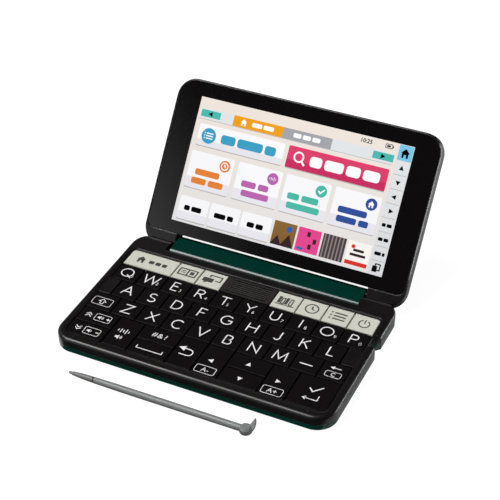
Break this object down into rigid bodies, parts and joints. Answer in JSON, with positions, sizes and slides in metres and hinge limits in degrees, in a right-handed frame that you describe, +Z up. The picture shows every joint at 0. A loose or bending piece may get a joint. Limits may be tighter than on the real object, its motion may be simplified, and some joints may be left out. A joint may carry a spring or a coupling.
{
  "type": "electronic dictionary",
  "caption": "Pocket electronic dictionary, open: a keypad base and a display lid joined by a bar with two hinge axes, with its stylus lying in front.",
  "frame": {"origin": "middle of the flat underside of the base", "axes": "+X to the user's right, +Y to the back where the hinge is, +Z up"},
  "size_m": [0.1426, 0.1599, 0.0739],
  "materials": {
    "green_shell": "gloss",
    "black_frame": "fine satin",
    "display_window": "gloss",
    "black_key": "satin",
    "cream_key": "satin",
    "stylus_grey": "satin",
    "key_rubber": "matt",
    "foot_rubber": "matt",
    "shaft_steel": "satin",
    "board": "lacquered",
    "battery_can": "sleeved"
  },
  "bodies": {
    "base": {"bottom_case": "green_shell", "top_case": "black_frame", "battery_door": "green_shell", "battery_pack": "battery_can", "circuit_board": "board", "key_sheet": "key_rubber", "rubber_pads": "foot_rubber"},
    "hinge": {"hinge_bar": "green_shell", "hinge_shafts": "shaft_steel"},
    "lid": {"lid_frame": "black_frame", "lid_cover": "green_shell", "display": "display_window"},
    "stylus": {"stylus": "stylus_grey"},
    "key_home": {"key_home": "cream_key"},
    "key_subject_a": {"key_subject_a": "cream_key"},
    "key_subject_b": {"key_subject_b": "cream_key"},
    "key_bookshelf": {"key_bookshelf": "cream_key"},
    "key_history": {"key_history": "cream_key"},
    "key_contents": {"key_contents": "cream_key"},
    "key_power": {"key_power": "cream_key"},
    "key_q": {"key_q": "black_key"},
    "key_w": {"key_w": "black_key"},
    "key_e": {"key_e": "black_key"},
    "key_r": {"key_r": "black_key"},
    "key_t": {"key_t": "black_key"},
    "key_y": {"key_y": "black_key"},
    "key_u": {"key_u": "black_key"},
    "key_i": {"key_i": "black_key"},
    "key_o": {"key_o": "black_key"},
    "key_p": {"key_p": "black_key"},
    "key_a": {"key_a": "black_key"},
    "key_s": {"key_s": "black_key"},
    "key_d": {"key_d": "black_key"},
    "key_f": {"key_f": "black_key"},
    "key_g": {"key_g": "black_key"},
    "key_h": {"key_h": "black_key"},
    "key_j": {"key_j": "black_key"},
    "key_k": {"key_k": "black_key"},
    "key_l": {"key_l": "black_key"},
    "key_shift": {"key_shift": "black_key"},
    "key_z": {"key_z": "black_key"},
    "key_x": {"key_x": "black_key"},
    "key_c": {"key_c": "black_key"},
    "key_v": {"key_v": "black_key"},
    "key_b": {"key_b": "black_key"},
    "key_n": {"key_n": "black_key"},
    "key_m": {"key_m": "black_key"},
    "key_dash": {"key_dash": "black_key"},
    "key_delete": {"key_delete": "black_key"},
    "key_page_up": {"key_page_up": "black_key"},
    "key_page_down": {"key_page_down": "black_key"},
    "key_voice": {"key_voice": "black_key"},
    "key_symbols": {"key_symbols": "black_key"},
    "key_space": {"key_space": "black_key"},
    "key_back": {"key_back": "black_key"},
    "key_left": {"key_left": "black_key"},
    "key_up": {"key_up": "black_key"},
    "key_down": {"key_down": "black_key"},
    "key_right": {"key_right": "black_key"},
    "key_enter": {"key_enter": "black_key"}
  },
  "joints": [
    {"name": "hinge_turn", "type": "hinge", "parent": "base", "child": "hinge", "pos_m": [0, 0.04, 0.0046], "axis": [-1, 0, 0], "range_deg": [-90, 90]},
    {"name": "lid_turn", "type": "hinge", "parent": "hinge", "child": "lid", "pos_m": [0, 0.0489, 0.0046], "axis": [-1, 0, 0], "range_deg": [-36.8, 143.2]},
    {"name": "stylus_lift", "type": "slide", "parent": "base", "child": "stylus", "axis": [0, 0, 1], "range_m": [0, 0.03]},
    {"name": "press_home", "type": "slide", "parent": "base", "child": "key_home", "axis": [0, 0, -1], "range_m": [0, 0.0005], "stiffness_N_per_m": 1000},
    {"name": "press_subject_a", "type": "slide", "parent": "base", "child": "key_subject_a", "axis": [0, 0, -1], "range_m": [0, 0.0005], "stiffness_N_per_m": 1000},
    {"name": "press_subject_b", "type": "slide", "parent": "base", "child": "key_subject_b", "axis": [0, 0, -1], "range_m": [0, 0.0005], "stiffness_N_per_m": 1000},
    {"name": "press_bookshelf", "type": "slide", "parent": "base", "child": "key_bookshelf", "axis": [0, 0, -1], "range_m": [0, 0.0005], "stiffness_N_per_m": 1000},
    {"name": "press_history", "type": "slide", "parent": "base", "child": "key_history", "axis": [0, 0, -1], "range_m": [0, 0.0005], "stiffness_N_per_m": 1000},
    {"name": "press_contents", "type": "slide", "parent": "base", "child": "key_contents", "axis": [0, 0, -1], "range_m": [0, 0.0005], "stiffness_N_per_m": 1000},
    {"name": "press_power", "type": "slide", "parent": "base", "child": "key_power", "axis": [0, 0, -1], "range_m": [0, 0.0005], "stiffness_N_per_m": 1000},
    {"name": "press_q", "type": "slide", "parent": "base", "child": "key_q", "axis": [0, 0, -1], "range_m": [0, 0.0005], "stiffness_N_per_m": 1000},
    {"name": "press_w", "type": "slide", "parent": "base", "child": "key_w", "axis": [0, 0, -1], "range_m": [0, 0.0005], "stiffness_N_per_m": 1000},
    {"name": "press_e", "type": "slide", "parent": "base", "child": "key_e", "axis": [0, 0, -1], "range_m": [0, 0.0005], "stiffness_N_per_m": 1000},
    {"name": "press_r", "type": "slide", "parent": "base", "child": "key_r", "axis": [0, 0, -1], "range_m": [0, 0.0005], "stiffness_N_per_m": 1000},
    {"name": "press_t", "type": "slide", "parent": "base", "child": "key_t", "axis": [0, 0, -1], "range_m": [0, 0.0005], "stiffness_N_per_m": 1000},
    {"name": "press_y", "type": "slide", "parent": "base", "child": "key_y", "axis": [0, 0, -1], "range_m": [0, 0.0005], "stiffness_N_per_m": 1000},
    {"name": "press_u", "type": "slide", "parent": "base", "child": "key_u", "axis": [0, 0, -1], "range_m": [0, 0.0005], "stiffness_N_per_m": 1000},
    {"name": "press_i", "type": "slide", "parent": "base", "child": "key_i", "axis": [0, 0, -1], "range_m": [0, 0.0005], "stiffness_N_per_m": 1000},
    {"name": "press_o", "type": "slide", "parent": "base", "child": "key_o", "axis": [0, 0, -1], "range_m": [0, 0.0005], "stiffness_N_per_m": 1000},
    {"name": "press_p", "type": "slide", "parent": "base", "child": "key_p", "axis": [0, 0, -1], "range_m": [0, 0.0005], "stiffness_N_per_m": 1000},
    {"name": "press_a", "type": "slide", "parent": "base", "child": "key_a", "axis": [0, 0, -1], "range_m": [0, 0.0005], "stiffness_N_per_m": 1000},
    {"name": "press_s", "type": "slide", "parent": "base", "child": "key_s", "axis": [0, 0, -1], "range_m": [0, 0.0005], "stiffness_N_per_m": 1000},
    {"name": "press_d", "type": "slide", "parent": "base", "child": "key_d", "axis": [0, 0, -1], "range_m": [0, 0.0005], "stiffness_N_per_m": 1000},
    {"name": "press_f", "type": "slide", "parent": "base", "child": "key_f", "axis": [0, 0, -1], "range_m": [0, 0.0005], "stiffness_N_per_m": 1000},
    {"name": "press_g", "type": "slide", "parent": "base", "child": "key_g", "axis": [0, 0, -1], "range_m": [0, 0.0005], "stiffness_N_per_m": 1000},
    {"name": "press_h", "type": "slide", "parent": "base", "child": "key_h", "axis": [0, 0, -1], "range_m": [0, 0.0005], "stiffness_N_per_m": 1000},
    {"name": "press_j", "type": "slide", "parent": "base", "child": "key_j", "axis": [0, 0, -1], "range_m": [0, 0.0005], "stiffness_N_per_m": 1000},
    {"name": "press_k", "type": "slide", "parent": "base", "child": "key_k", "axis": [0, 0, -1], "range_m": [0, 0.0005], "stiffness_N_per_m": 1000},
    {"name": "press_l", "type": "slide", "parent": "base", "child": "key_l", "axis": [0, 0, -1], "range_m": [0, 0.0005], "stiffness_N_per_m": 1000},
    {"name": "press_shift", "type": "slide", "parent": "base", "child": "key_shift", "axis": [0, 0, -1], "range_m": [0, 0.0005], "stiffness_N_per_m": 1000},
    {"name": "press_z", "type": "slide", "parent": "base", "child": "key_z", "axis": [0, 0, -1], "range_m": [0, 0.0005], "stiffness_N_per_m": 1000},
    {"name": "press_x", "type": "slide", "parent": "base", "child": "key_x", "axis": [0, 0, -1], "range_m": [0, 0.0005], "stiffness_N_per_m": 1000},
    {"name": "press_c", "type": "slide", "parent": "base", "child": "key_c", "axis": [0, 0, -1], "range_m": [0, 0.0005], "stiffness_N_per_m": 1000},
    {"name": "press_v", "type": "slide", "parent": "base", "child": "key_v", "axis": [0, 0, -1], "range_m": [0, 0.0005], "stiffness_N_per_m": 1000},
    {"name": "press_b", "type": "slide", "parent": "base", "child": "key_b", "axis": [0, 0, -1], "range_m": [0, 0.0005], "stiffness_N_per_m": 1000},
    {"name": "press_n", "type": "slide", "parent": "base", "child": "key_n", "axis": [0, 0, -1], "range_m": [0, 0.0005], "stiffness_N_per_m": 1000},
    {"name": "press_m", "type": "slide", "parent": "base", "child": "key_m", "axis": [0, 0, -1], "range_m": [0, 0.0005], "stiffness_N_per_m": 1000},
    {"name": "press_dash", "type": "slide", "parent": "base", "child": "key_dash", "axis": [0, 0, -1], "range_m": [0, 0.0005], "stiffness_N_per_m": 1000},
    {"name": "press_delete", "type": "slide", "parent": "base", "child": "key_delete", "axis": [0, 0, -1], "range_m": [0, 0.0005], "stiffness_N_per_m": 1000},
    {"name": "press_page_up", "type": "slide", "parent": "base", "child": "key_page_up", "axis": [0, 0, -1], "range_m": [0, 0.0005], "stiffness_N_per_m": 1000},
    {"name": "press_page_down", "type": "slide", "parent": "base", "child": "key_page_down", "axis": [0, 0, -1], "range_m": [0, 0.0005], "stiffness_N_per_m": 1000},
    {"name": "press_voice", "type": "slide", "parent": "base", "child": "key_voice", "axis": [0, 0, -1], "range_m": [0, 0.0005], "stiffness_N_per_m": 1000},
    {"name": "press_symbols", "type": "slide", "parent": "base", "child": "key_symbols", "axis": [0, 0, -1], "range_m": [0, 0.0005], "stiffness_N_per_m": 1000},
    {"name": "press_space", "type": "slide", "parent": "base", "child": "key_space", "axis": [0, 0, -1], "range_m": [0, 0.0005], "stiffness_N_per_m": 1000},
    {"name": "press_back", "type": "slide", "parent": "base", "child": "key_back", "axis": [0, 0, -1], "range_m": [0, 0.0005], "stiffness_N_per_m": 1000},
    {"name": "press_left", "type": "slide", "parent": "base", "child": "key_left", "axis": [0, 0, -1], "range_m": [0, 0.0005], "stiffness_N_per_m": 1000},
    {"name": "press_up", "type": "slide", "parent": "base", "child": "key_up", "axis": [0, 0, -1], "range_m": [0, 0.0005], "stiffness_N_per_m": 1000},
    {"name": "press_down", "type": "slide", "parent": "base", "child": "key_down", "axis": [0, 0, -1], "range_m": [0, 0.0005], "stiffness_N_per_m": 1000},
    {"name": "press_right", "type": "slide", "parent": "base", "child": "key_right", "axis": [0, 0, -1], "range_m": [0, 0.0005], "stiffness_N_per_m": 1000},
    {"name": "press_enter", "type": "slide", "parent": "base", "child": "key_enter", "axis": [0, 0, -1], "range_m": [0, 0.0005], "stiffness_N_per_m": 1000}
  ]
}
